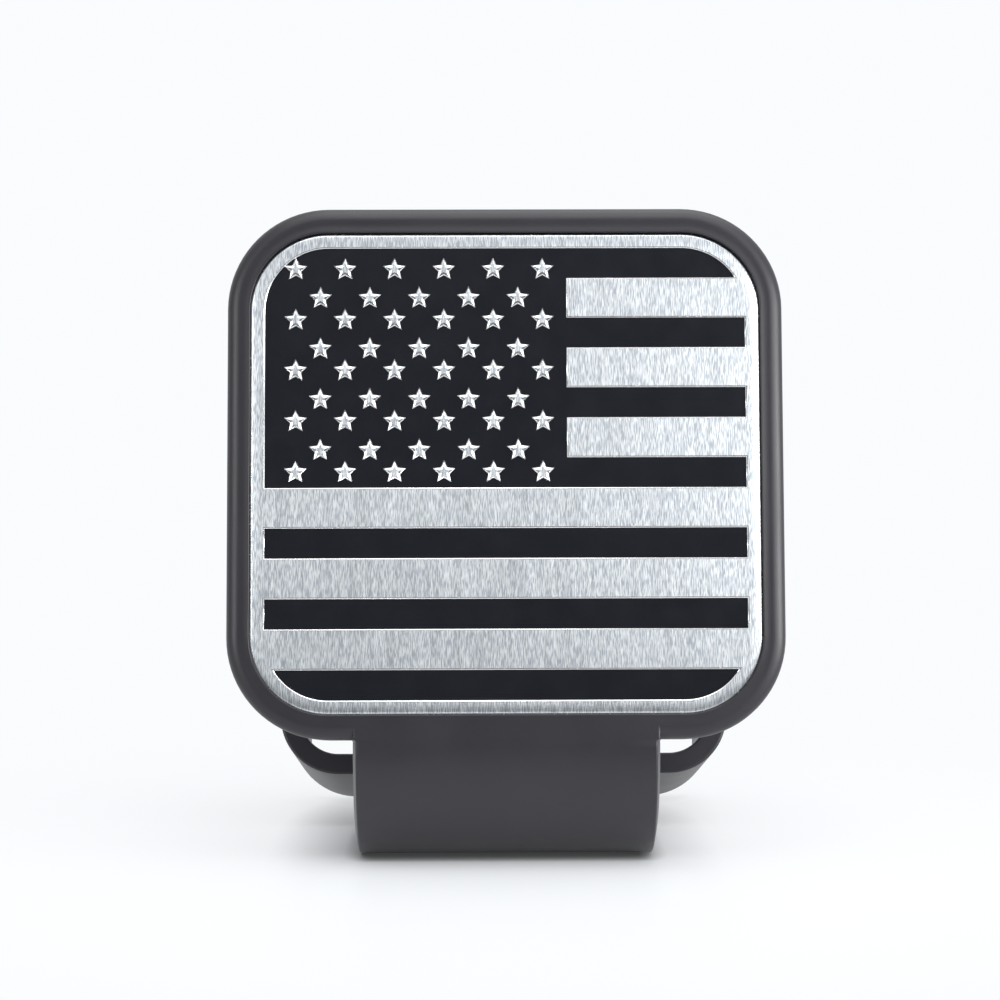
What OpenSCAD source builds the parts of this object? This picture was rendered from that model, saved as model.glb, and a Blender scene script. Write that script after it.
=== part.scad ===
// Fold-over cover for the open end of a square trailer receiver tube.
// One rubber moulding: a square pad with a plug on its back, a broad strap, and
// a square collar that slips over the outside of the tube. A metal emblem plate
// with sunken black fields is stuck into the recess in the pad's face.
// Modelled as it stands on a table: the pad leans back at the front, the strap
// turns under it and lies flat, and the collar rises behind on the strap's end.
// The origin is the middle of the strap's flat underside. +Z is up and the pad
// faces -Y. Millimetres.

/* [Receiver tube that the cover fits] */
// Outside width of the square tube
tube_outside = 63.5; // [60:0.1:66]
// Inside width of the square tube
tube_bore = 50.8; // [46:0.1:52]

/* [Pad] */
// Width of the rubber rim at each side of the recess
rim_side = 3.2; // [2.8:0.1:8]
// Width of the rubber rim above and below the recess
rim_end = 3.5; // [2.8:0.1:8]
// Thickness of the pad from its face to its back
pad_t = 9.4; // [7:0.1:14]
// Round on the outer edge of the pad's face
pad_front_round = 1.6; // [0.4:0.1:2.4]
// Round on the outer edge of the pad's back
pad_back_round = 0.6; // [0.3:0.1:1.5]
// Lean of the pad back from upright, in degrees
pad_lean = 8; // [2:0.5:16]

/* [Emblem plate] */
// Width of the metal plate
plate_w = 73; // [62:0.1:85]
// Height of the metal plate
plate_h = 69; // [62:0.1:85]
// Thickness of the plate at its raised border
plate_t = 1.6; // [1.2:0.1:2.4]
// Corner radius of the plate
plate_corner_r = 11.1; // [8:0.1:12]
// Gap between the plate's edge and the wall of the recess
plate_gap = 0.3; // [0.2:0.05:0.5]
// Distance by which the plate sits below the middle of the recess
plate_drop = 0.2; // [0:0.05:0.2]
// Depth of the plate's face below the pad's face
plate_sink = 0.4; // [0:0.1:1]
// Thickness of the adhesive sheet under the plate
adhesive_t = 0.3; // [0.1:0.05:0.8]
// Inset of the adhesive sheet from the plate's edge
adhesive_inset = 1.5; // [0.5:0.1:4]

/* [Relief on the plate] */
// Width of the raised border
border_w = 2.0; // [1:0.1:4]
// Depth of the sunken fields below the border
relief_depth = 0.5; // [0.2:0.05:0.8]
// Thickness of the black enamel on the floor of the fields
enamel_t = 0.2; // [0.05:0.05:0.2]
// Height of one raised stripe
stripe_h = 5.82; // [3:0.01:7]
// Number of raised stripes
stripe_count = 6; // [4:1:6]
// Width of the corner panel that holds the stars
panel_w = 43.3; // [40:0.1:50]
// Number of raised stripes that stop at the corner panel
panel_stripes = 3; // [3:1:4]
// Radius of a star from its middle to its points
star_r = 1.58; // [1:0.01:1.6]
// Number of rows of stars
star_rows = 9; // [5:2:9]
// Number of stars in the longer rows
star_columns = 6; // [3:1:6]
// Clearance between the first star and the panel's round corner
star_clear = 0.13; // [0.1:0.01:0.6]
// Direction of the first star from the middle of the corner's arc, in degrees
star_turn = 52.1; // [48:0.1:56]
// Distance from the panel's right edge to the middle of the last star
star_margin_right = 3.42; // [2.4:0.01:5]
// Distance from the panel's bottom edge to the middle of the lowest row
star_margin_bottom = 2.26; // [2:0.01:4]
// Distance by which the shorter rows sit below the middle of their neighbours
star_row_drop = 0.5; // [0:0.1:0.6]

/* [Strap] */
// Width of the strap at its inner face
strap_w = 44; // [30:0.5:50]
// Thickness of the strap
strap_t = 3.2; // [2.4:0.1:4]
// Distance by which each edge of the strap slopes in to its outer face
strap_slope = 0.57; // [0:0.01:1]
// Outer radius of the bend under the pad
strap_front_r = 16.4; // [12:0.1:19]
// Length of the flat run on the table
strap_flat = 18; // [16:0.5:30]

/* [Collar] */
// Clearance between the collar and the tube, over the whole width
collar_fit = 0.1; // [0:0.05:0.5]
// Wall of the collar
collar_wall = 3.2; // [2.4:0.1:4.5]
// Inside corner radius of the collar
collar_corner_r = 5.9; // [3:0.1:9]
// Length of the collar along the tube
collar_depth = 30; // [26:0.5:36]
// Lean of the collar's mouth back from upright, in degrees
collar_lean = 15.5; // [13:0.5:18]

/* [Plug] */
// Clearance between the plug's wall and the tube, over the whole width
plug_fit = 1.2; // [0.6:0.1:2]
// Length of the plug behind the pad
plug_depth = 22; // [12:0.5:26]
// Wall of the plug
plug_wall = 3.2; // [2:0.1:5]
// Outside corner radius of the plug
plug_corner_r = 4.5; // [3.6:0.1:8]
// Height of the sealing ribs above the plug's wall
rib_rise = 0.45; // [0.1:0.05:0.5]
// Thickness of a sealing rib
rib_t = 1.6; // [1:0.1:2.5]
// Number of sealing ribs
rib_count = 2; // [1:1:3]
// Distance from the pad to the first rib
rib_start = 5; // [2:0.5:6]
// Distance between two ribs
rib_pitch = 6.5; // [4:0.5:7]

/* [Hidden] */
$fn = 96;
rubber = [0.24, 0.24, 0.25];
silver = [0.78, 0.79, 0.8];
black = [0.08, 0.08, 0.09];
glue = [0.9, 0.9, 0.86];
// A cutter reaches this far past the faces that it cuts
cut_past = 1;
// The strap's bends run on into the pad and the collar by this turn, in degrees,
// and by this step the strap stands proud of the pad and behind the collar's mouth
join_turn = 3;
join_step = 0.05;

// Recess for the plate, and the pad's outline around it
recess_w = plate_w + 2 * plate_gap;
recess_h = plate_h + 2 * plate_gap;
recess_r = plate_corner_r + plate_gap;
recess_depth = plate_sink + plate_t + adhesive_t;
pad_w = recess_w + 2 * rim_side;
pad_h = recess_h + 2 * rim_end;
pad_corner_r = recess_r + rim_side;

// Sunken field of the plate
field_w = plate_w - 2 * border_w;
field_h = plate_h - 2 * border_w;
field_r = plate_corner_r - border_w;

// Enamel bands lie above, between and below the raised stripes
band_h = (field_h - stripe_count * stripe_h) / (stripe_count + 1);
stripe_pitch = stripe_h + band_h;
panel_h = panel_stripes * stripe_pitch + band_h;

// Rows of stars, from the first star in the panel's round corner to the last ones
// at the panel's right and bottom margins
star_reach = field_r - star_clear - star_r * cos(36);
star_margin_left = field_r - star_reach * cos(star_turn);
star_margin_top = field_r - star_reach * sin(star_turn);
star_pitch_x = (panel_w - star_margin_left - star_margin_right) / (star_columns - 1);
star_pitch_z = (panel_h - star_margin_top - star_margin_bottom) / ((star_rows - 1) / 2);

// Collar and plug. No inside corner of the plug is sharper than the least radius.
least_inner_r = 0.5;
collar_bore = tube_outside + collar_fit;
collar_w = collar_bore + 2 * collar_wall;
plug_w = tube_bore - plug_fit;
plug_hollow_w = plug_w - 2 * plug_wall;
plug_inner_r = max(plug_corner_r - plug_wall, least_inner_r);
rib_w = plug_w + 2 * rib_rise;

// Side view of the strap, as [y, z]. The bend under the pad turns past upright
// by the pad's lean. The rear bend has the radius that brings the collar's rear
// edge down onto the table.
front_turn = 90 + pad_lean;
rear_turn = 90 - collar_lean;
collar_foot_z = collar_depth * sin(collar_lean);
rear_inner_r = (collar_foot_z - strap_t) / (1 - cos(rear_turn));
rear_r = rear_inner_r + strap_t;
pad_foot = [
    -strap_flat / 2 - strap_front_r * sin(front_turn) + join_step * cos(pad_lean),
    strap_front_r * (1 - cos(front_turn)) - join_step * sin(pad_lean)
];
collar_foot = [
    strap_flat / 2 + rear_inner_r * sin(rear_turn) - join_step * cos(collar_lean),
    collar_foot_z + join_step * sin(collar_lean)
];
strap_outer_w = strap_w - 2 * strap_slope;

// Rectangle with round corners, centred
module round_rect(w, h, r) {
    square([w, h - 2 * r], center = true);
    square([w - 2 * r, h], center = true);
    for (x = [-1, 1], y = [-1, 1])
        translate([x * (w / 2 - r), y * (h / 2 - r)])
            circle(r);
}

// Stands a flat outline up in the X-Z plane and gives it a thickness towards +Y
module upright(thickness) {
    rotate([90, 0, 0])
        mirror([0, 0, 1])
            linear_extrude(thickness)
                children();
}

// Places what is drawn on the pad: origin in the middle of the pad's face, +Y into the pad
module on_pad() {
    translate([0, pad_foot[0], pad_foot[1]])
        rotate([-pad_lean, 0, 0])
            translate([0, 0, pad_h / 2])
                children();
}

// Places what is drawn on the plate: origin in the middle of the plate's face
module on_plate() {
    on_pad()
        translate([0, plate_sink, -plate_drop])
            children();
}

// Places what is drawn on the collar: origin at the outer edge of its mouth's lower side
module on_collar() {
    translate([0, collar_foot[0], collar_foot[1]])
        rotate([-collar_lean, 0, 0])
            children();
}

// Section of the pad's outer margin, from 0 to its corner radius, with both edges rounded
module pad_margin_section() {
    front_y = pad_t - pad_front_round;
    square([pad_corner_r - pad_front_round, pad_t]);
    translate([0, pad_back_round])
        square([pad_corner_r, front_y - pad_back_round]);
    square([pad_corner_r - pad_back_round, front_y]);
    translate([pad_corner_r - pad_front_round, front_y])
        circle(pad_front_round);
    translate([pad_corner_r - pad_back_round, pad_back_round])
        circle(pad_back_round);
}

// Pad lying on its back: four round corners, four straight margins and a middle
module pad_blank() {
    core_w = pad_w - 2 * pad_corner_r;
    core_h = pad_h - 2 * pad_corner_r;
    linear_extrude(pad_t)
        square([core_w, core_h], center = true);
    for (side = [0, 1])
        rotate([0, 0, 180 * side]) {
            translate([core_w / 2, core_h / 2, 0])
                rotate_extrude(angle = 90)
                    pad_margin_section();
            rotate([0, 0, 90])
                translate([core_h / 2, core_w / 2, 0])
                    rotate_extrude(angle = 90)
                        pad_margin_section();
            translate([core_w / 2, core_h / 2, 0])
                rotate([90, 0, 0])
                    linear_extrude(core_h)
                        pad_margin_section();
            rotate([0, 0, 90])
                translate([core_h / 2, core_w / 2, 0])
                    rotate([90, 0, 0])
                        linear_extrude(core_w)
                            pad_margin_section();
        }
}

// Section of the strap as [distance from the outer face, x]
module strap_section() {
    polygon([
        [0, -strap_outer_w / 2],
        [0, strap_outer_w / 2],
        [strap_t, strap_w / 2],
        [strap_t, -strap_w / 2]
    ]);
}

// Bend of the strap that starts flat on the table and turns up towards +Y
module strap_bend(outer_r, turn) {
    translate([0, 0, outer_r])
        rotate([0, 90, 0])
            rotate_extrude(angle = turn)
                translate([outer_r, 0])
                    mirror([1, 0])
                        strap_section();
}

// Straight stretch of the strap: it rises along +Z with its outer face at -Y
module strap_straight(length) {
    linear_extrude(length)
        rotate(90)
            strap_section();
}

// Whole strap: flush with the pad's rim, round the front bend, along the table,
// round the rear bend and into the lower wall of the collar
module strap() {
    on_pad()
        translate([0, 0, -pad_h / 2])
            strap_straight(rim_end);
    translate([0, -strap_flat / 2, 0])
        mirror([0, 1, 0])
            strap_bend(strap_front_r, front_turn + join_turn);
    translate([0, strap_flat / 2, 0])
        rotate([90, 0, 0])
            strap_straight(strap_flat);
    translate([0, strap_flat / 2, 0])
        strap_bend(rear_r, rear_turn + join_turn);
}

module pad() {
    on_pad()
        difference() {
            rotate([90, 0, 0])
                translate([0, 0, -pad_t])
                    pad_blank();
            translate([0, -cut_past, 0])
                upright(recess_depth + cut_past)
                    round_rect(recess_w, recess_h, recess_r);
        }
}

module plug() {
    on_pad()
        translate([0, pad_t, 0])
            difference() {
                union() {
                    upright(plug_depth)
                        round_rect(plug_w, plug_w, plug_corner_r);
                    for (i = [0 : rib_count - 1])
                        translate([0, rib_start + i * rib_pitch, 0])
                            upright(rib_t)
                                round_rect(rib_w, rib_w, plug_corner_r + rib_rise);
                }
                upright(plug_depth + cut_past)
                    round_rect(plug_hollow_w, plug_hollow_w, plug_inner_r);
            }
}

module collar() {
    on_collar()
        translate([0, 0, collar_w / 2])
            difference() {
                upright(collar_depth)
                    round_rect(collar_w, collar_w, collar_corner_r + collar_wall);
                translate([0, -cut_past, 0])
                    upright(collar_depth + 2 * cut_past)
                        round_rect(collar_bore, collar_bore, collar_corner_r);
            }
}

module rubber_cover() {
    color(rubber) {
        pad();
        plug();
        strap();
        collar();
    }
}

// Five-pointed star, point up, with its middle at the origin
module star() {
    notch_r = star_r * cos(72) / cos(36);
    polygon([
        for (i = [0 : 9])
            let (r = i % 2 == 0 ? star_r : notch_r, turn = 90 + 36 * i)
                r * [cos(turn), sin(turn)]
    ]);
}

// Rows of stars on the corner panel: longer rows, with shorter rows between them
module stars() {
    for (row = [0 : star_rows - 1]) {
        short_row = row % 2;
        drop = row * star_pitch_z / 2 + short_row * star_row_drop;
        for (i = [0 : star_columns - 1 - short_row])
            translate([
                -field_w / 2 + star_margin_left + (i + short_row / 2) * star_pitch_x,
                field_h / 2 - star_margin_top - drop
            ])
                star();
    }
}

// Raised stripes: the upper ones stop at the corner panel, the rest cross the whole field
module stripes() {
    for (i = [0 : stripe_count - 1]) {
        left = i < panel_stripes ? -field_w / 2 + panel_w : -plate_w / 2;
        top = field_h / 2 - band_h - i * stripe_pitch;
        translate([left, top - stripe_h])
            square([plate_w / 2 - left, stripe_h]);
    }
}

// Outline of the sunken, enamelled fields, seen from the front
module fields() {
    difference() {
        round_rect(field_w, field_h, field_r);
        stripes();
        stars();
    }
}

module emblem_plate() {
    color(silver)
        on_plate()
            difference() {
                upright(plate_t)
                    round_rect(plate_w, plate_h, plate_corner_r);
                translate([0, -cut_past, 0])
                    upright(relief_depth + cut_past)
                        fields();
            }
}

module enamel_fill() {
    color(black)
        on_plate()
            translate([0, relief_depth - enamel_t, 0])
                upright(enamel_t)
                    fields();
}

module adhesive_sheet() {
    color(glue)
        on_plate()
            translate([0, plate_t, 0])
                upright(adhesive_t)
                    round_rect(
                        plate_w - 2 * adhesive_inset,
                        plate_h - 2 * adhesive_inset,
                        plate_corner_r - adhesive_inset
                    );
}

rubber_cover();
emblem_plate();
enamel_fill();
adhesive_sheet();
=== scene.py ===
from math import asin, cos, pi, radians, sin

import bmesh
import bpy
import numpy as np
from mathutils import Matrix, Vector
from mathutils.geometry import tessellate_polygon


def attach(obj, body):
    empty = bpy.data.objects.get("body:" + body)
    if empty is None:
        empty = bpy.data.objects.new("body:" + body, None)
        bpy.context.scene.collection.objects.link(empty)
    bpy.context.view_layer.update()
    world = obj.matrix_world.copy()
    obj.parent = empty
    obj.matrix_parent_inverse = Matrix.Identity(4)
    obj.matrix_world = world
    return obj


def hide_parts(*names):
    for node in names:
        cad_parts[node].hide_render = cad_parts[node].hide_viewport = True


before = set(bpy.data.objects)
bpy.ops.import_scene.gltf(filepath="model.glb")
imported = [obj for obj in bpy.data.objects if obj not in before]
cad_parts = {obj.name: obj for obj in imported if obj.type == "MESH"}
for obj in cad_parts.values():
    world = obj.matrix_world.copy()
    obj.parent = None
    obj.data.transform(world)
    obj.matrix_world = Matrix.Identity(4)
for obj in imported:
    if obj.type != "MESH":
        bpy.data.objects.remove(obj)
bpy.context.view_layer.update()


# Camera. A long lens stands in front of the pad, a little above its middle and a hair to the
# left, and looks very slightly down, as for a plain product picture.
mm = 0.001
look_down = 2.616
look_right = 0.515
camera_roll = 0.143
camera_data = bpy.data.cameras.new("camera")
camera_data.sensor_width = 36.0
camera_data.lens = 100.8
camera = bpy.data.objects.new("camera", camera_data)
camera.location = (-4.38 * mm, -420.1 * mm, 70.7 * mm)
camera.rotation_euler = (radians(90 - look_down), radians(camera_roll), radians(-look_right))
bpy.context.scene.collection.objects.link(camera)
bpy.context.scene.camera = camera


# Rubber cover. One black rubber moulding: a square pad with a recess in its face and a hollow
# ribbed plug on its back, a broad strap that turns under the pad and lies on the table, and a
# square collar on the strap's rear end. The strap runs into the pad's rim without a step.
pad_t = 9.4 * mm
pad_lean = radians(8)
rim_side = 3.2 * mm
rim_end = 3.5 * mm
plate_w = 73 * mm
plate_h = 69 * mm
plate_t = 1.6 * mm
plate_corner_r = 11.1 * mm
plate_gap = 0.3 * mm
plate_squeeze = 0.15 * mm
plate_sink = 0.4 * mm
adhesive_t = 0.3 * mm
pad_front_round = 2 * mm
pad_back_round = 0.6 * mm
recess_lip_r = 0.13 * mm
recess_drop = 0.12 * mm
rim_drop = 0.13 * mm
level_share = 0.25
recess_floor_r = 0.3 * mm
recess_floor_inset = 10 * recess_floor_r
recess_play = 0.02 * mm
plug_w = 49.6 * mm
plug_wall = 3.2 * mm
plug_depth = 22 * mm
plug_corner_r = 4.5 * mm
plug_root_r = 1 * mm
plug_end_r = 0.5 * mm
rib_rise = 0.45 * mm
rib_t = 1.6 * mm
rib_starts = (5 * mm, 11.5 * mm)
strap_w = 44 * mm
strap_t = 3.2 * mm
strap_slope = 0.57 * mm
strap_edge_r = 0.3 * mm
strap_front_r = 16.4 * mm
strap_flat = 18 * mm
strap_fillet = 0.4 * mm
strap_root_r = 1.2 * mm
collar_bore = 63.6 * mm
collar_wall = 3.2 * mm
collar_corner_r = 5.9 * mm
collar_depth = 30 * mm
collar_rear_round = 1.8 * mm
collar_lean = radians(15.5)
collar_edge_r = 0.4 * mm
# The strap's faces lie a hair off the pad's face and the collar's mouth, so that none coincide.
join_step = 0.05 * mm
proud = 0.003 * mm

recess_w = plate_w + 2 * plate_gap
recess_h = plate_h + 2 * plate_gap
recess_r = plate_corner_r + plate_gap
recess_depth = plate_sink + plate_t + adhesive_t
rim_w = rim_side - recess_lip_r - pad_front_round
pad_w = recess_w + 2 * rim_side
pad_h = recess_h + 2 * rim_end
pad_corner_r = recess_r + rim_side
collar_w = collar_bore + 2 * collar_wall
front_turn = pi / 2 + pad_lean
rear_turn = pi / 2 - collar_lean
rear_r = (collar_depth * sin(collar_lean) - strap_t) / (1 - cos(rear_turn)) + strap_t
front_end = strap_front_r * front_turn
flat_end = front_end + strap_flat
rear_end = flat_end + rear_r * rear_turn


def round_outline(half_w, half_h, radius, corner_steps=20, side_steps=6):
    """Outlines of rectangles with round corners, one for each entry of the three arrays. A
    corner is a quarter circle whose middle lies one radius inside both sides, and the straight
    side from one corner to the next is cut into equal steps."""
    half_w, half_h, radius = (np.asarray(size, float)[:, None] for size in (half_w, half_h, radius))
    quarter = np.linspace(0, pi / 2, corner_steps + 1)
    along = np.linspace(0, 1, side_steps + 1)[1:-1, None]
    arcs = []
    for turn, (right, up) in enumerate([(1, 1), (-1, 1), (-1, -1), (1, -1)]):
        across = right * (half_w - radius) + radius * np.cos(quarter + turn * pi / 2)
        above = up * (half_h - radius) + radius * np.sin(quarter + turn * pi / 2)
        arcs.append(np.stack([across, above], -1))
    parts = []
    for arc, after in zip(arcs, arcs[1:] + arcs[:1]):
        parts += [arc, arc[:, -1:] + (after[:, :1] - arc[:, -1:]) * along]
    return np.concatenate(parts, axis=1)


def quarter_round(offset, depth, radius, start, end, steps=6):
    """Part of a section that turns a corner: points on a circle about (offset, depth), from one
    angle to the other. At 0 degrees the point has its full offset and at 90 its full depth."""
    angle = np.radians(np.linspace(start, end, steps + 1))
    return np.stack([offset + radius * np.cos(angle), depth + radius * np.sin(angle)], -1)


def carry(section):
    """A section carried round its outlines. Each stretch of the section names the outline that
    it follows, as half width, half height and corner radius, and gives its points as (offset
    outwards from that outline, depth). Returns the rings and the depth of each ring."""
    sizes = [np.broadcast_to(outline, (len(points), 3)) for outline, points in section]
    points = np.concatenate([np.asarray(points, float) for outline, points in section])
    half_w, half_h, radius = (np.concatenate(sizes) + points[:, :1]).T
    return round_outline(half_w, half_h, radius), points[:, 1:]


def new_piece(name, points, faces):
    """Piece made of the given points and faces, each face a list of its points' numbers."""
    mesh = bpy.data.meshes.new(name)
    mesh.from_pydata(points.tolist(), [], faces)
    piece = bpy.data.objects.new(name, mesh)
    bpy.context.scene.collection.objects.link(piece)
    return piece


def face_outwards(mesh):
    """Turns the faces of a closed mesh until all of them point outwards."""
    shape = bmesh.new()
    shape.from_mesh(mesh)
    bmesh.ops.recalc_face_normals(shape, faces=shape.faces)
    shape.to_mesh(mesh)
    shape.free()


def skin(name, rings, closed=False):
    """Piece of quads between neighbouring rings of points, each ring joined end to end. A closed
    skin joins its last ring to its first, and an open one has a flat cap on each end."""
    count, size = rings.shape[:2]
    point = np.arange(size)
    row = np.arange(count if closed else count - 1)[:, None] * size
    next_row = (row + size) % (count * size)
    beside = (point + 1) % size
    quads = np.stack([row + point, next_row + point, next_row + beside, row + beside], -1)
    faces = quads.reshape(-1, 4).tolist()
    if not closed:
        faces += [point.tolist(), (point[::-1] + (count - 1) * size).tolist()]
    piece = new_piece(name, rings.reshape(-1, 3), faces)
    face_outwards(piece.data)
    return piece


def strap_line(s):
    """Outer face of the strap seen from the side, at the distance s along it from the pad's
    foot: straight down the pad's face, round the front bend, flat along the table, round the
    rear bend and straight up into the collar. Returns y, z and the heading from +Y."""
    above = np.clip(-s, 0, None)
    front = np.clip(front_end - s, 0, front_end) / strap_front_r
    flat = np.clip(s - front_end, 0, strap_flat)
    rear = np.clip(s - flat_end, 0, rear_end - flat_end) / rear_r
    beyond = np.clip(s - rear_end, 0, None)
    y = flat - strap_flat / 2 - strap_front_r * np.sin(front) + above * sin(pad_lean)
    y = y + rear_r * np.sin(rear) + beyond * sin(collar_lean)
    z = strap_front_r * (1 - np.cos(front)) + above * cos(pad_lean)
    z = z + rear_r * (1 - np.cos(rear)) + beyond * cos(collar_lean)
    return y, z, rear - front


def fillet(distance, radius):
    """Width that a round inside corner adds at each distance from the wall that it runs into:
    the gap between a quarter circle and its tangent, and the whole radius past the wall."""
    near = np.clip(1 - distance / radius, 0, 1)
    return radius * (1 - np.sqrt(1 - near**2))


foot_y, foot_z = strap_line(0.0)[:2]
pad_foot = (foot_y + join_step * cos(pad_lean), foot_z - join_step * sin(pad_lean))
mouth_y, mouth_z = strap_line(rear_end)[:2]
mouth_y = mouth_y - (strap_t + join_step) * cos(collar_lean)
mouth_z = mouth_z + (strap_t + join_step) * sin(collar_lean)


def on_pad(x, depth, height):
    """Places points given across the pad, into it from its face, and up it from its middle. The
    pad leans back about its foot, so going in also goes down, and going up also goes back."""
    up = height + pad_h / 2
    y = pad_foot[0] + depth * cos(pad_lean) + up * sin(pad_lean)
    z = pad_foot[1] - depth * sin(pad_lean) + up * cos(pad_lean)
    return np.stack(np.broadcast_arrays(x, y, z), -1)


def on_collar(x, depth, height):
    """Places points given across the collar, into it from its mouth, and up its mouth from the
    outside of its lower wall. The collar leans back in the same way as the pad."""
    y = mouth_y + depth * cos(collar_lean) + height * sin(collar_lean)
    z = mouth_z - depth * sin(collar_lean) + height * cos(collar_lean)
    return np.stack(np.broadcast_arrays(x, y, z), -1)


pad_outline = (pad_w / 2, pad_h / 2, pad_corner_r)
snug = plate_gap - plate_squeeze - recess_play
recess_outline = (recess_w / 2 - snug, recess_h / 2 - snug, recess_r - snug)
plug_outline = (plug_w / 2, plug_w / 2, plug_corner_r)
hollow_outline = (plug_w / 2 - plug_wall, plug_w / 2 - plug_wall, plug_corner_r - plug_wall)
plug_end = pad_t + plug_depth
across_rib = np.linspace(-1, 1, 9)
rib_bulge = rib_rise * np.sqrt(1 - across_rib**4)
along_rim = np.linspace(0, 1, 7)[1:]
slope_drop = rim_drop * (1 - (1 - along_rim) ** 2)
rim_slope = np.stack([recess_lip_r + rim_w * along_rim, slope_drop], -1)
floor_depth = recess_depth - recess_floor_r
pad_section = [
    (recess_outline, [(-recess_floor_inset, recess_depth)]),
    (recess_outline, quarter_round(-recess_floor_r, floor_depth, recess_floor_r, 90, 0)),
    (recess_outline, quarter_round(recess_lip_r, recess_lip_r, recess_lip_r, 180, 270)),
    (recess_outline, rim_slope),
    (pad_outline, quarter_round(-pad_front_round, pad_front_round, pad_front_round, 270, 360, 14)),
    (pad_outline, quarter_round(-pad_back_round, pad_t - pad_back_round, pad_back_round, 0, 90)),
    (plug_outline, quarter_round(plug_root_r, pad_t + plug_root_r, plug_root_r, 270, 180)),
]
for start in rib_starts:
    rib_depth = pad_t + start + rib_t * (1 + across_rib) / 2
    pad_section.append((plug_outline, np.stack([rib_bulge, rib_depth], -1)))
pad_section += [
    (plug_outline, quarter_round(-plug_end_r, plug_end - plug_end_r, plug_end_r, 0, 90)),
    (hollow_outline, quarter_round(plug_end_r, plug_end - plug_end_r, plug_end_r, 90, 180)),
    (hollow_outline, quarter_round(-plug_root_r, pad_t + plug_root_r, plug_root_r, 360, 270)),
]
pad_rings, pad_depths = carry(pad_section)

# The rim is raised a little along its lip and slopes away from it, but for its lower end, where
# it has to run level into the strap. Over the lowest share of the pad the slope comes in by a
# smooth step: three times the square, less twice the cube.
slope_start = sum(len(points) for outline, points in pad_section[:3])
round_start = slope_start + len(rim_slope)
round_end = round_start + len(pad_section[4][1])
above_foot = np.clip((pad_rings[..., 1] / pad_h + 0.5) / level_share, 0, 1)
above_foot = above_foot**2 * (3 - 2 * above_foot)
pad_rings[:slope_start, :, 1] -= recess_drop
pad_depths = np.repeat(pad_depths, pad_rings.shape[1], axis=1)
pad_depths[slope_start:round_start] *= above_foot[slope_start:round_start]
pad_depths[round_start:round_end] += rim_drop * above_foot[round_start:round_end]
pad = skin("pad", on_pad(pad_rings[..., 0], pad_depths, pad_rings[..., 1]))

collar_outline = (collar_w / 2, collar_w / 2, collar_corner_r + collar_wall)
rear_outline = (collar_w / 2, collar_w / 2, collar_corner_r + collar_wall + collar_rear_round)
bore_outline = (collar_bore / 2, collar_bore / 2, collar_corner_r)
rear_edge = collar_depth - collar_edge_r
collar_section = [
    (collar_outline, quarter_round(-collar_edge_r, collar_edge_r, collar_edge_r, 270, 360)),
    (rear_outline, quarter_round(-collar_edge_r, rear_edge, collar_edge_r, 0, 90)),
    (bore_outline, quarter_round(collar_edge_r, rear_edge, collar_edge_r, 90, 180)),
    (bore_outline, quarter_round(collar_edge_r, collar_edge_r, collar_edge_r, 180, 270)),
]
collar_rings, collar_depths = carry(collar_section)
collar_height = collar_rings[..., 1] + collar_w / 2
collar = skin("collar", on_collar(collar_rings[..., 0], collar_depths, collar_height), closed=True)

# The strap's section is a rectangle with rounded edges, drawn in to a narrower outer face. At
# both ends the section widens into fillets against the pad and the collar.
in_pad = -(rim_end - recess_lip_r - plate_sink)
in_collar = rear_end + collar_wall - collar_edge_r
stations = np.unique(np.concatenate([
    np.linspace(in_pad, 0, 8),
    np.linspace(0, strap_root_r, 12),
    np.linspace(strap_root_r, front_end, 60),
    np.linspace(front_end, flat_end, 12),
    np.linspace(flat_end, rear_end - strap_root_r, 40),
    np.linspace(rear_end - strap_root_r, rear_end, 12),
    np.linspace(rear_end, in_collar, 6),
]))[:, None]
edge = round_outline([strap_w / 2], [strap_t / 2], [strap_edge_r], corner_steps=5, side_steps=10)[0]
inward = edge[:, 1] / strap_t + 0.5
side_flare = fillet(stations, strap_fillet) + fillet(rear_end - stations, strap_root_r)
pad_side = fillet(stations, strap_root_r)
collar_side = fillet(rear_end - stations, strap_root_r)
half_w = strap_w / 2 - strap_slope * (1 - inward) + side_flare
strap_x = edge[:, 0] / (strap_w / 2) * half_w
outer_shift = (join_step - proud) * np.clip(1 - stations / front_end, 0, 1) - collar_side
inner_shift = pad_side + proud * np.clip(stations / rear_end, 0, 1)
strap_depth = outer_shift + inward * (strap_t + inner_shift - outer_shift)
line_y, line_z, heading = strap_line(stations)
strap_y = line_y - strap_depth * np.sin(heading)
strap_z = line_z + strap_depth * np.cos(heading)
strap = skin("strap", np.stack(np.broadcast_arrays(strap_x, strap_y, strap_z), -1))


def fuse(name, pieces):
    """One closed mesh from pieces that run into each other: their union, with what lies inside
    another piece taken out. The pieces themselves are removed."""
    first = pieces[0]
    for other in pieces[1:]:
        union = first.modifiers.new("union", "BOOLEAN")
        union.operation = "UNION"
        union.solver = "EXACT"
        union.object = other
    shown = first.evaluated_get(bpy.context.evaluated_depsgraph_get())
    whole = bpy.data.objects.new(name, bpy.data.meshes.new_from_object(shown))
    whole.data.name = name
    for piece in pieces:
        bpy.data.objects.remove(piece)
    bpy.context.scene.collection.objects.link(whole)
    return whole


def smooth(piece, sharpest):
    """Shades a piece as a smooth surface, with an edge only where two faces meet at more than
    the given number of degrees. Large faces keep their own direction."""
    shape = bmesh.new()
    shape.from_mesh(piece.data)
    for face in shape.faces:
        face.smooth = True
    for side in shape.edges:
        side.smooth = side.calc_face_angle(0) < radians(sharpest)
    shape.to_mesh(piece.data)
    shape.free()
    weighting = piece.modifiers.new("large faces lead", "WEIGHTED_NORMAL")
    weighting.keep_sharp = True


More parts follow.
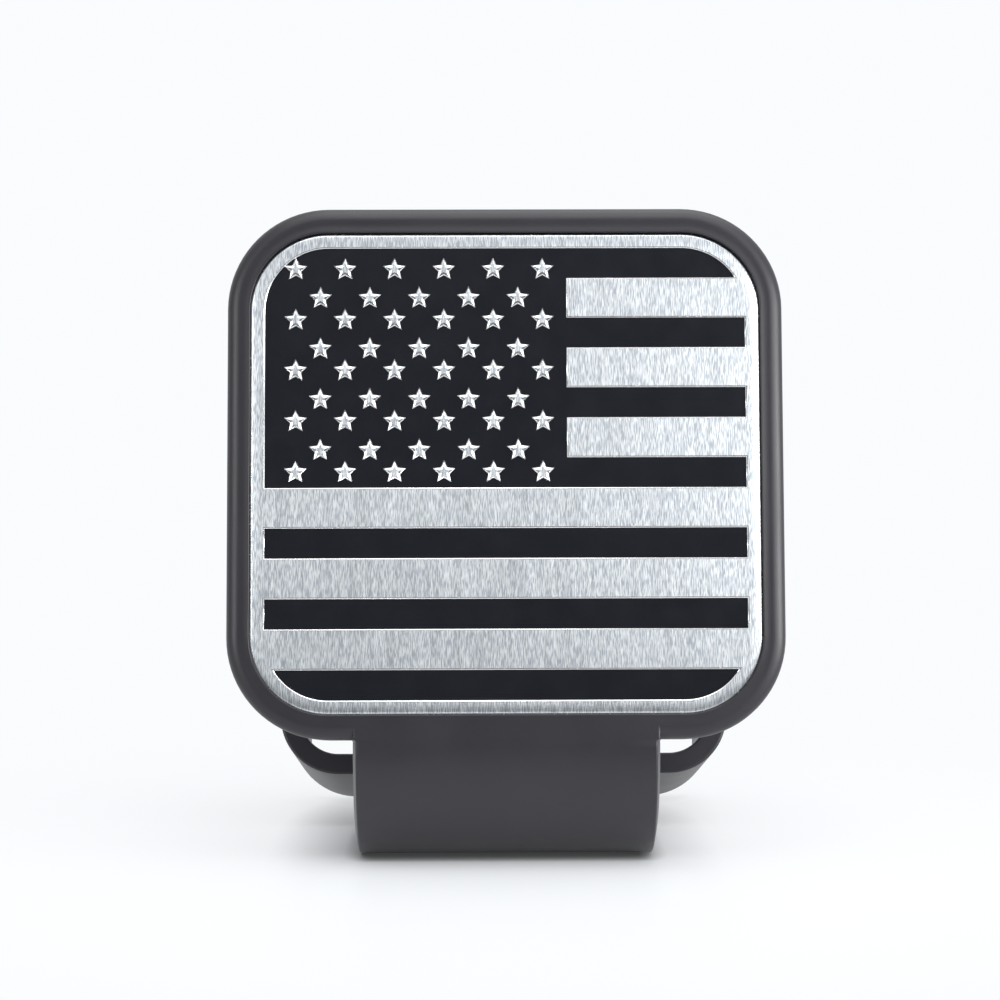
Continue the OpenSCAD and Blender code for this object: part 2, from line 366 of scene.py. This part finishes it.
def new_material(name):
    """Empty material with one shader. Returns the material, its nodes' tree and the shader."""
    material = bpy.data.materials.new(name)
    material.use_nodes = True
    return material, material.node_tree, material.node_tree.nodes["Principled BSDF"]


def grain(tree, size, lean=0.0, detail=2.0):
    """Noise whose grains have the given size, three lengths, along axes that lean back by the
    given angle."""
    place = tree.nodes.new("ShaderNodeTexCoord")
    turned = tree.nodes.new("ShaderNodeMapping")
    turned.vector_type = "TEXTURE"
    turned.inputs["Rotation"].default_value = (-lean, 0, 0)
    turned.inputs["Scale"].default_value = size
    noise = tree.nodes.new("ShaderNodeTexNoise")
    noise.inputs["Scale"].default_value = 1.0
    noise.inputs["Detail"].default_value = detail
    tree.links.new(place.outputs["Object"], turned.inputs["Vector"])
    tree.links.new(turned.outputs["Vector"], noise.inputs["Vector"])
    return noise.outputs["Fac"]


def spread(tree, value, low, high, least=0.3, most=0.7):
    """Carries a value from the range of a grain, least to most, to the range from low to high."""
    carried = tree.nodes.new("ShaderNodeMapRange")
    carried.inputs["From Min"].default_value = least
    carried.inputs["From Max"].default_value = most
    carried.inputs["To Min"].default_value = low
    carried.inputs["To Max"].default_value = high
    tree.links.new(value, carried.inputs["Value"])
    return carried.outputs["Result"]


def between(tree, value, dark, light):
    """Colour that goes from dark to light as the value goes from 0 to 1."""
    colours = tree.nodes.new("ShaderNodeMix")
    colours.data_type = "RGBA"
    colours.inputs["A"].default_value = (*dark, 1)
    colours.inputs["B"].default_value = (*light, 1)
    tree.links.new(value, colours.inputs["Factor"])
    return colours.outputs["Result"]


def tint(tree, shader, value, dark, light, least=0.3, most=0.7):
    """Colours a shader with a grain, from dark to light as its value goes from least to most."""
    colour = between(tree, spread(tree, value, 0, 1, least, most), dark, light)
    tree.links.new(colour, shader.inputs["Base Color"])


def dull(tree, shader, value, low, high):
    """Lets a shader's roughness follow a grain, from low to high."""
    tree.links.new(spread(tree, value, low, high), shader.inputs["Roughness"])


def relief(tree, shader, value, height):
    """Lets a value stand up from the surface by the given height."""
    bump = tree.nodes.new("ShaderNodeBump")
    bump.inputs["Distance"].default_value = height
    tree.links.new(value, bump.inputs["Height"])
    tree.links.new(bump.outputs["Normal"], shader.inputs["Normal"])


rubber_dark = (0.0088, 0.0082, 0.0125)
rubber_light = (0.0108, 0.01, 0.0145)
cloud_size = 9 * mm
pore_size = 0.16 * mm
pore_depth = 0.006 * mm
rubber_sharpest = 32
rubber, rubber_tree, rubber_shader = new_material("black satin rubber")
clouds = grain(rubber_tree, (cloud_size,) * 3, detail=3)
pores = grain(rubber_tree, (pore_size,) * 3)
tint(rubber_tree, rubber_shader, clouds, rubber_dark, rubber_light)
dull(rubber_tree, rubber_shader, clouds, low=0.41, high=0.45)
relief(rubber_tree, rubber_shader, pores, pore_depth)

rubber_cover = fuse("rubber_cover_finished", [strap, pad, collar])
smooth(rubber_cover, rubber_sharpest)
rubber_cover.data.materials.clear()
rubber_cover.data.materials.append(rubber)
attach(rubber_cover, "root")
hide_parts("rubber_cover")


# Adhesive sheet. A thin white foam tape, cut a little smaller than the plate, which holds the
# plate on the floor of the recess. It is out of sight once the plate is on.
tape_dark = (0.70, 0.69, 0.64)
tape_light = (0.82, 0.81, 0.77)
cell_size = 0.3 * mm
cell_depth = 0.02 * mm
tape, tape_tree, tape_shader = new_material("white foam tape")
cells = grain(tape_tree, (cell_size,) * 3)
tint(tape_tree, tape_shader, cells, tape_dark, tape_light)
tape_shader.inputs["Roughness"].default_value = 0.8
relief(tape_tree, tape_shader, cells, cell_depth)
adhesive_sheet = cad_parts["adhesive_sheet"]
adhesive_sheet.data.materials.clear()
adhesive_sheet.data.materials.append(tape)


# Emblem plate. One pressed aluminium plate with a flag in relief: a border, six raised stripes
# and fifty stars stand above four sunken fields. Its face is brushed upright, and its outer
# chamfer and the edges of the relief are polished.
plate_drop = 0.2 * mm
border_w = 2 * mm
relief_depth = 0.5 * mm
stripe_h = 5.82 * mm
stripe_count = 6
panel_w = 43.3 * mm
panel_stripes = 3
star_r = 1.58 * mm
star_rows = 9
star_columns = 6
star_clear = 0.13 * mm
star_turn = radians(52.1)
star_margin_right = 3.42 * mm
star_margin_bottom = 2.26 * mm
star_row_drop = 0.5 * mm
chamfer_w = 0.3 * mm
chamfer_depth = 0.17 * mm
crown_w = 1.3 * mm
crown_drop = 0.085 * mm
field_edge_r = 0.22 * mm
star_base = 1.07
star_notch = 0.49
star_top = 0.55
star_shoulder = 0.9
star_shoulder_depth = 0.09 * mm
star_slope_depth = 0.22 * mm

field_right = plate_w / 2 - border_w
field_top = plate_h / 2 - border_w
field_r = plate_corner_r - border_w
band_h = (2 * field_top - stripe_count * stripe_h) / (stripe_count + 1)
stripe_pitch = stripe_h + band_h
panel_h = panel_stripes * stripe_pitch + band_h
panel_right = panel_w - field_right


def corner_arc(right, up, angles):
    """Part of a round corner of the sunken field: its middle lies one corner radius inside."""
    angles = np.radians(angles)
    middle = np.array([right * (field_right - field_r), up * (field_top - field_r)])
    return middle + field_r * np.stack([np.cos(angles), np.sin(angles)], -1)


def fields():
    """Outlines of the four sunken fields, seen from the front and anticlockwise. The first is
    the corner panel with the bands beside it, the next two are plain bars, and the last is the
    lowest band. A band that ends in a round corner starts on the arc at its own height."""
    low = np.degrees(asin((field_r - band_h) / field_r))
    up_right = corner_arc(1, 1, np.linspace(low, 90, 15))
    up_left = corner_arc(-1, 1, np.linspace(90, 180, 22))
    down_left = corner_arc(-1, -1, np.linspace(180 + low, 270, 15))
    down_right = corner_arc(1, -1, np.linspace(270, 360 - low, 15))
    panel_bottom = field_top - panel_h
    steps = [(-field_right, panel_bottom), (field_right, panel_bottom)]
    for band in range(panel_stripes, 0, -1):
        top = field_top - band * stripe_pitch
        steps += [(field_right, top), (panel_right, top), (panel_right, top + stripe_h)]
        if band > 1:
            steps.append((field_right, top + stripe_h))
    first = np.concatenate([steps, up_right, up_left])
    bars = []
    for band in range(panel_stripes + 1, stripe_count):
        top = field_top - band * stripe_pitch
        foot = top - band_h
        lower = [(-field_right, foot), (field_right, foot)]
        upper = [(field_right, top), (-field_right, top)]
        bars.append(np.array(lower + upper))
    return [first, *bars, np.concatenate([down_left, down_right])]


def star_middles():
    """Middles of the fifty stars. Longer rows alternate with shorter ones that lie half a pitch
    across, a little below the middle between their neighbours."""
    reach = field_r - star_clear - star_r * cos(radians(36))
    left = field_r - reach * cos(star_turn)
    top = field_r - reach * sin(star_turn)
    pitch_x = (panel_w - left - star_margin_right) / (star_columns - 1)
    pitch_z = (panel_h - top - star_margin_bottom) / ((star_rows - 1) / 2)
    middles = []
    for row in range(star_rows):
        short = row % 2
        across = left - field_right + (np.arange(star_columns - short) + short / 2) * pitch_x
        height = field_top - top - row * pitch_z / 2 - short * star_row_drop
        middles += [(x, height) for x in across]
    return middles


def star_rings(scales):
    """Star with its point up, drawn at each of the scales. Its points and its notches take
    turns every 36 degrees. A star drawn smaller has all its sides moved in by the same width."""
    turn = radians(36) * np.arange(10)
    reach = star_r * np.where(np.arange(10) % 2, star_notch, 1)
    star = np.stack([-reach * np.sin(turn), reach * np.cos(turn)], -1)
    return star * np.asarray(scales)[:, None, None]


def moved_out(outline, distances):
    """Copies of an anticlockwise outline, each moved outwards by one of the distances. A corner
    moves along the middle of its two sides' outward directions, so both sides stay parallel."""
    side = np.roll(outline, -1, axis=0) - outline
    out = np.stack([side[:, 1], -side[:, 0]], -1) / np.linalg.norm(side, axis=1)[:, None]
    before = np.roll(out, 1, axis=0)
    corner = (out + before) / (1 + (out * before).sum(1))[:, None]
    return outline + corner * np.asarray(distances, float)[:, None, None]


# How a face of the plate is finished, and whether it is shaded flat or as a part of a curve.
BRUSHED_FLAT, BRUSHED_CURVE, POLISHED_FACET, POLISHED_CURVE = range(4)


class Plate:
    """Points and faces of the plate as they are gathered. Each wall is a stack of outlines, and
    a flat is filled between an outer outline and the outlines of the holes in it."""

    def __init__(self):
        self.points = []
        self.faces = []
        self.finish = []
        self.count = 0

    def wall(self, rings, depths, brushed_rings=0, finish=POLISHED_CURVE):
        """Joins rings of points, each at its own depth, into a wall. The wall has the given
        finish, but for as many of its first rings as are said to be brushed. Returns the numbers
        of the points in the first and in the last ring."""
        depth = np.broadcast_to(np.asarray(depths)[:, None], rings.shape[:2])
        self.points.append(np.stack([rings[..., 0], depth, rings[..., 1]], -1).reshape(-1, 3))
        count, size = rings.shape[:2]
        number = np.arange(count * size).reshape(count, size) + self.count
        beside = np.roll(number, -1, axis=1)
        quads = np.stack([number[:-1], number[1:], beside[1:], beside[:-1]], -1).reshape(-1, 4)
        self.faces += quads.tolist()
        self.finish += [BRUSHED_CURVE] * (brushed_rings * size)
        self.finish += [finish] * (len(quads) - brushed_rings * size)
        self.count += count * size
        return number[0], number[-1]

    def flat(self, rim, holes=()):
        """Fills a flat between the rim and the holes, each given by its points' numbers."""
        points = np.concatenate(self.points)
        loops = [rim, *holes]
        number = np.concatenate(loops)
        corners = tessellate_polygon([[(p[0], p[2], 0) for p in points[loop]] for loop in loops])
        self.faces += [[int(number[i]) for i in face] for face in corners]
        self.finish += [BRUSHED_FLAT] * len(corners)


plate = Plate()
crown = np.linspace(0, 1, 7)[:, None]
crown_edge = np.hstack([(crown - 1) * crown_w - chamfer_w, crown**2 * crown_drop])
chamfer_middle = (-chamfer_w / 2, crown_drop + chamfer_depth / 3)
chamfer_foot = (0, crown_drop + chamfer_depth)
outer_edge = np.concatenate([crown_edge, [chamfer_middle, chamfer_foot, (0, plate_t)]])
field_edge = quarter_round(field_edge_r, field_edge_r, field_edge_r, 270, 180, 4)
field_edge = np.concatenate([field_edge, [(0, relief_depth)]])
star_edge = np.array([
    (star_top, 0),
    (star_shoulder, star_shoulder_depth),
    (star_base, star_slope_depth),
    (star_base, relief_depth),
])
plate_reach = plate_squeeze + np.array([plate_w / 2, plate_h / 2, plate_corner_r])
plate_outline = round_outline(*plate_reach[:, None], corner_steps=24, side_steps=1)[0]
edge_rings = moved_out(plate_outline, outer_edge[:, 0])
face_rim, back_rim = plate.wall(edge_rings, outer_edge[:, 1], brushed_rings=len(crown) - 1)
field_sides = [moved_out(outline, field_edge[:, 0]) for outline in fields()]
field_tops, field_floors = zip(*[plate.wall(side, field_edge[:, 1]) for side in field_sides])
star_sides = [star_rings(star_edge[:, 0]) + middle for middle in star_middles()]
star_walls = [plate.wall(side, star_edge[:, 1], finish=POLISHED_FACET) for side in star_sides]
star_tops, star_floors = zip(*star_walls)
plate.flat(face_rim, field_tops)
plate.flat(back_rim)
plate.flat(field_floors[0], star_floors)
for rim in [*field_floors[1:], *star_tops]:
    plate.flat(rim)

plate_x, plate_depth, plate_height = np.concatenate(plate.points).T
placed = on_pad(plate_x, plate_depth + plate_sink, plate_height - plate_drop)
emblem_plate = new_piece("emblem_plate_finished", placed, plate.faces)
plate_mesh = emblem_plate.data
finish = np.array(plate.finish)
rounded = (finish == BRUSHED_CURVE) | (finish == POLISHED_CURVE)
plate_mesh.polygons.foreach_set("use_smooth", rounded)
plate_mesh.polygons.foreach_set("material_index", (finish >= POLISHED_FACET).astype(np.int32))
face_outwards(plate_mesh)

brushed_dark = (0.52, 0.565, 0.62)
brushed_light = (0.93, 0.975, 1.0)
hairline_size = (0.115 * mm, 1 * mm, 1.4 * mm)
hairline_range = (0.435, 0.565)
hairline_depth = 0.015 * mm
pass_size = (0.5 * mm, 5 * mm, 9 * mm)
brushed, brushed_tree, brushed_shader = new_material("upright brushed aluminium")
hairlines = grain(brushed_tree, hairline_size, lean=pad_lean, detail=1)
passes = grain(brushed_tree, pass_size, lean=pad_lean)
tint(brushed_tree, brushed_shader, hairlines, brushed_dark, brushed_light, *hairline_range)
brushed_shader.inputs["Metallic"].default_value = 1.0
brushed_shader.inputs["Anisotropic"].default_value = 0.65
sideways = brushed_tree.nodes.new("ShaderNodeCombineXYZ")
sideways.inputs["X"].default_value = 1.0
brushed_tree.links.new(sideways.outputs["Vector"], brushed_shader.inputs["Tangent"])
dull(brushed_tree, brushed_shader, passes, low=0.28, high=0.33)
relief(brushed_tree, brushed_shader, hairlines, hairline_depth)

polished_dark = (0.90, 0.91, 0.92)
polished_light = (0.96, 0.96, 0.97)
ripple_size = 0.4 * mm
polished, polished_tree, polished_shader = new_material("polished aluminium edge")
ripples = grain(polished_tree, (ripple_size,) * 3)
tint(polished_tree, polished_shader, ripples, polished_dark, polished_light)
polished_shader.inputs["Metallic"].default_value = 1.0
dull(polished_tree, polished_shader, ripples, low=0.2, high=0.28)
emblem_plate.data.materials.append(brushed)
emblem_plate.data.materials.append(polished)
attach(emblem_plate, "root")
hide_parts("emblem_plate")


# Enamel. Black gloss enamel, filled into the four sunken fields round the stars and wiped
# level well below the raised metal.
enamel_dark = (0.0022, 0.0026, 0.004)
enamel_light = (0.003, 0.0034, 0.0054)
flow_size = 4 * mm
flow_depth = 0.01 * mm
enamel, enamel_tree, enamel_shader = new_material("black gloss enamel")
flow = grain(enamel_tree, (flow_size,) * 3, lean=pad_lean)
tint(enamel_tree, enamel_shader, flow, enamel_dark, enamel_light)
enamel_shader.inputs["Specular Tint"].default_value = (0.82, 0.88, 1.0, 1)
dull(enamel_tree, enamel_shader, flow, low=0.2, high=0.26)
relief(enamel_tree, enamel_shader, flow, flow_depth)
enamel_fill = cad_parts["enamel_fill"]
enamel_fill.data.materials.clear()
enamel_fill.data.materials.append(enamel)


# Table. A wide white top that the cover stands on. It takes the cover's soft shadow, which a
# painted glow of the background's white thins and melts away from the cover, seen straight and in
# mirrors alike, and it has painted contact shade where the strap nearly touches it.
table_reach = 3.0
table_front = -0.16
table_white = (0.88, 0.895, 0.91)
seen_white = (0.665, 0.68, 0.695)
background = (0.955, 0.972, 0.99)
# How near something must be to the table for the painted contact shade to darken it.
painted_shade_reach = 2.4 * mm
# The rectangle's middle lies left of and in front of the strap, so the painted glow thins the
# shadow more on the right.
shade_shift = (1.8 * mm, 5 * mm, 0)
shade_half_w = 20.5 * mm
shade_half_d = 8 * mm
shade_squash = 0.3

table_corners = np.array([(-1, 0, 0), (1, 0, 0), (1, 1, 0), (-1, 1, 0)]) * table_reach
table = new_piece("table", table_corners + (0, table_front, 0), [(0, 1, 2, 3)])


def vector_step(tree, operation, vector, *by):
    """One step of arithmetic on a vector, with the other vectors that it needs, if any. The
    length of a vector is a single value, and any other step gives a vector."""
    step = tree.nodes.new("ShaderNodeVectorMath")
    step.operation = operation
    tree.links.new(vector, step.inputs[0])
    for number, other in enumerate(by, 1):
        step.inputs[number].default_value = other
    return step.outputs["Value" if operation == "LENGTH" else "Vector"]


def joined(tree, operation, *values):
    """Sum or product of several values, taken one after the other."""
    result = values[0]
    for value in values[1:]:
        step = tree.nodes.new("ShaderNodeMath")
        step.operation = operation
        tree.links.new(result, step.inputs[0])
        tree.links.new(value, step.inputs[1])
        result = step.outputs["Value"]
    return result


def showing(tree):
    """Finds the rays that show the background: 1 for a ray straight from the camera, else 0,
    and 1 for a ray that comes by way of a mirror or through glass, else 0."""
    path = tree.nodes.new("ShaderNodeLightPath").outputs
    mirrored = joined(tree, "ADD", path["Is Glossy Ray"], path["Is Transmission Ray"])
    return path["Is Camera Ray"], mirrored


def blended(tree, share, first, second, output):
    """Goes from the first shader to the second as the share goes from 0 to 1, and gives the
    result to the tree's output."""
    mix = tree.nodes.new("ShaderNodeMixShader")
    tree.links.new(share, mix.inputs["Fac"])
    tree.links.new(first, mix.inputs[1])
    tree.links.new(second, mix.inputs[2])
    tree.links.new(mix.outputs["Shader"], tree.nodes[output].inputs["Surface"])


# The cover's real soft shadow shows in a rectangle round the place where the strap rests, and a
# painted glow of the background's white takes over with the distance from it, a painted light that
# thins the shadow. That distance is the length of what a point's offsets, sideways and squashed in
# depth, have beyond the rectangle's half sizes.
top, top_tree, top_shader = new_material("white table")
top_shader.inputs["Roughness"].default_value = 0.4
ground = top_tree.nodes.new("ShaderNodeTexCoord").outputs["Object"]
shifted = vector_step(top_tree, "ADD", ground, shade_shift)
offset = vector_step(top_tree, "ABSOLUTE", shifted)
squash = (1, shade_squash, 0)
less_half = (-shade_half_w, -shade_half_d * shade_squash, 0)
beyond = vector_step(top_tree, "MULTIPLY_ADD", offset, squash, less_half)
from_shade = vector_step(top_tree, "LENGTH", vector_step(top_tree, "MAXIMUM", beyond))
from_middle = vector_step(top_tree, "LENGTH", ground)
# Inside the rectangle a faint painted glow still lightens the deepest shadow.
near = spread(top_tree, from_shade, 0.045, 0.7, least=0.8 * mm, most=13 * mm)
far = spread(top_tree, from_middle, 0, 0.3, least=36 * mm, most=130 * mm)
straight, mirrored = showing(top_tree)
fade = joined(top_tree, "ADD", near, far)
shown = joined(top_tree, "ADD", straight, mirrored)

# Straight from the camera the top is a greyer white, with painted contact shade where the strap
# nearly touches it. All other light meets its own white.
painted_contact_shade = top_tree.nodes.new("ShaderNodeAmbientOcclusion")
painted_contact_shade.inputs["Color"].default_value = (*seen_white, 1)
painted_contact_shade.inputs["Distance"].default_value = painted_shade_reach
top_colour = between(top_tree, straight, table_white, seen_white)
top_tree.links.new(painted_contact_shade.outputs["Color"], top_colour.node.inputs["B"])
top_tree.links.new(top_colour, top_shader.inputs["Base Color"])
painted_glow = top_tree.nodes.new("ShaderNodeEmission")
painted_glow.inputs["Color"].default_value = (*background, 1)
painted_glow_share = joined(top_tree, "MULTIPLY", fade, shown)
table_looks = (top_shader.outputs["BSDF"], painted_glow.outputs["Emission"])
blended(top_tree, painted_glow_share, *table_looks, output="Material Output")
table.data.materials.append(top)


# Studio. White walls give even light: dark below the table, and brighter at the ceiling and
# behind the cover. Five soft boxes stand round it: right, left, low at the right side, above in
# front, and overhead.
wall_white = (0.97, 0.98, 1.0)
lamp_aim = Vector((0, 0, 0.05))

world = bpy.data.worlds.new("white studio")
world.use_nodes = True
bpy.context.scene.world = world
walls = world.node_tree
even = walls.nodes["Background"]
even.inputs["Color"].default_value = (*wall_white, 1)
direction = walls.nodes.new("ShaderNodeTexCoord")
axes = walls.nodes.new("ShaderNodeSeparateXYZ")
walls.links.new(direction.outputs["Generated"], axes.inputs["Vector"])
upwards = axes.outputs["Z"]
backwards = axes.outputs["Y"]
low_wall = spread(walls, upwards, 0.06, 0.36, least=0, most=0.14)
ceiling = spread(walls, upwards, 0, 0.45, least=0.25, most=0.8)
back_wall = spread(walls, backwards, 0, 0.6, least=-0.2, most=0.7)
walls.links.new(joined(walls, "ADD", low_wall, ceiling, back_wall), even.inputs["Strength"])

# The backdrop's white shows straight, and in mirrors where they face what is behind the cover.
behind = spread(walls, backwards, 0, 1, least=0.1, most=0.6)
straight, mirrored = showing(walls)
shown = joined(walls, "ADD", straight, joined(walls, "MULTIPLY", mirrored, behind))
backdrop = walls.nodes.new("ShaderNodeBackground")
backdrop.inputs["Color"].default_value = (*background, 1)
studio_looks = (even.outputs["Background"], backdrop.outputs["Background"])
blended(walls, shown, *studio_looks, output="World Output")


def soft_box(name, place, width, height, power):
    """Lamp with a white cloth in front, turned towards the middle of the cover."""
    lamp_data = bpy.data.lights.new(name, "AREA")
    lamp_data.shape = "RECTANGLE"
    lamp_data.size = width
    lamp_data.size_y = height
    lamp_data.energy = power
    lamp = bpy.data.objects.new(name, lamp_data)
    lamp.location = place
    lamp.rotation_euler = (Vector(place) - lamp_aim).to_track_quat("Z", "Y").to_euler()
    lamp.visible_camera = False
    bpy.context.scene.collection.objects.link(lamp)


soft_box("right lamp", (0.34, -0.28, 0.169), width=0.40, height=0.18, power=1.48)
soft_box("left lamp", (-0.335, -0.28, 0.151), width=0.23, height=0.18, power=0.71)
soft_box("low side lamp", (0.44, -0.15, 0.08), width=0.26, height=0.14, power=1.2)
soft_box("upper lamp", (0.07, -0.22, 0.37), width=0.42, height=0.14, power=0.42)
soft_box("overhead lamp", (0.03, -0.02, 0.42), width=0.42, height=0.30, power=0.84)

bpy.context.scene.view_settings.view_transform = "Standard"
